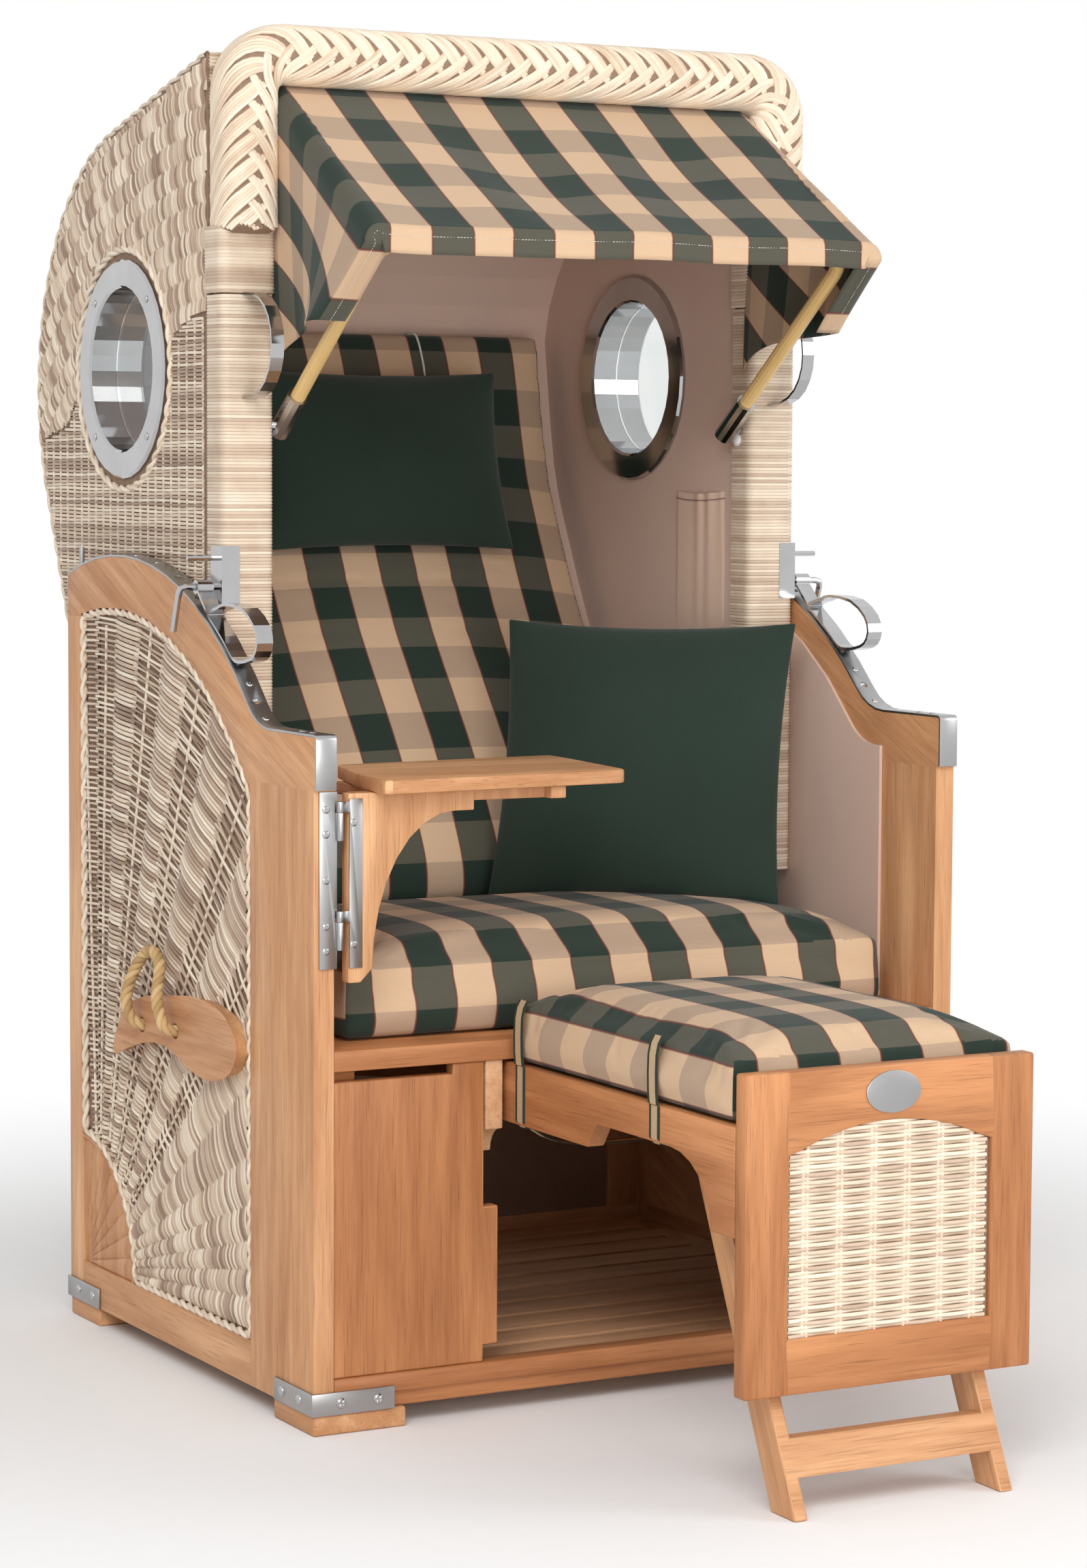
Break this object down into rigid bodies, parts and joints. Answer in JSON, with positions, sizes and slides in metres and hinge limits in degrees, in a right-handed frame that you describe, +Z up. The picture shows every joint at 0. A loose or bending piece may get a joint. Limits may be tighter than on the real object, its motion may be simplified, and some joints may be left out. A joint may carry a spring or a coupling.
{
  "type": "hooded beach chair",
  "caption": "Hooded wicker beach chair with teak base, tilting hood with portholes, canopy, swinging table and pull-out footrest.",
  "frame": {"origin": "on the floor, at the middle of the chair's box in plan, with the footrest pulled out", "axes": "+Z up; the chair faces -Y; +X is at the right seen from the front"},
  "size_m": [0.9298, 1.4517, 1.594],
  "materials": {
    "teak": "oiled teak, straight grain",
    "wicker": "woven synthetic cane in cream, tan and brown",
    "lining": "taupe woven lining",
    "steel": "stainless steel, satin",
    "chrome": "polished",
    "glass": "clear pane",
    "check": "dark green and beige check",
    "green": "dark green plain weave",
    "rope": "laid natural fibre rope",
    "cream": "cream coated rod"
  },
  "bodies": {
    "root": {"side_frame_left": "teak", "side_wicker_left": "wicker", "arm_strap_left": "steel", "side_lining_left": "lining", "carry_handle_left": "teak", "carry_rope_left": "rope", "foot_front_left": "teak", "foot_rear_left": "teak", "corner_bracket_front_left": "steel", "corner_bracket_rear_left": "steel", "front_board_left": "teak", "runner_left": "teak", "side_frame_right": "teak", "side_wicker_right": "wicker", "arm_strap_right": "steel", "side_lining_right": "lining", "carry_handle_right": "teak", "carry_rope_right": "rope", "foot_front_right": "teak", "foot_rear_right": "teak", "corner_bracket_front_right": "steel", "corner_bracket_rear_right": "steel", "front_board_right": "teak", "runner_right": "teak", "front_rail": "teak", "rear_frame": "teak", "rear_wicker": "wicker", "floor_slats": "teak", "seat_board": "teak", "seat_cushion": "check", "scatter_cushion": "green", "table_hinge_post_leaf": "steel"},
    "hood": {"hood_shell": "wicker", "hood_lining": "lining", "hood_front_frame": "wicker", "back_cushion": "check", "neck_pillow": "green", "canopy": "check", "porthole_left": "chrome", "porthole_glass_left": "glass", "grab_handle_left": "chrome", "lever_rod_left": "chrome", "porthole_right": "chrome", "porthole_glass_right": "glass", "grab_handle_right": "chrome", "lever_rod_right": "chrome"},
    "canopy_bail": {"canopy_rod": "cream", "canopy_socket_left": "chrome", "canopy_socket_right": "chrome"},
    "lever_left": {"lock_lever_left": "steel"},
    "lever_right": {"lock_lever_right": "steel"},
    "table": {"table_top": "teak", "table_bracket": "teak", "table_hinge_leaf": "steel"},
    "footrest": {"footrest_frame": "teak", "footrest_front": "teak", "footrest_wicker": "wicker", "footrest_cushion": "check"},
    "leg": {"leg_frame": "teak"}
  },
  "joints": [
    {"name": "hood_tilt", "type": "hinge", "parent": "root", "child": "hood", "pos_m": [0, 0.38188, 0.436], "axis": [-1, 0, 0], "range_deg": [0, 35.5]},
    {"name": "footrest_slide", "type": "slide", "parent": "root", "child": "footrest", "axis": [0, 0.9932, -0.1167], "range_m": [0, 0.44], "deforming": ["footrest_cushion"]},
    {"name": "leg_fold", "type": "hinge", "parent": "footrest", "child": "leg", "pos_m": [0, -0.52962, 0.37], "axis": [1, 0, 0], "range_deg": [0, 110]},
    {"name": "canopy_tilt", "type": "hinge", "parent": "hood", "child": "canopy_bail", "pos_m": [0, 0.15888, 1.13], "axis": [-1, 0, 0], "range_deg": [0, 55], "deforming": ["canopy"]},
    {"name": "table_swing", "type": "hinge", "parent": "root", "child": "table", "pos_m": [-0.396, -0.18262, 0.62], "axis": [0, 0, -1], "range_deg": [0, 110]},
    {"name": "lock_lever_left_lift", "type": "hinge", "parent": "hood", "child": "lever_left", "pos_m": [-0.4135, 0.15188, 0.94], "axis": [-1, 0, 0], "range_deg": [0, 60]},
    {"name": "lock_lever_right_lift", "type": "hinge", "parent": "hood", "child": "lever_right", "pos_m": [0.4135, 0.15188, 0.94], "axis": [-1, 0, 0], "range_deg": [0, 60]}
  ]
}
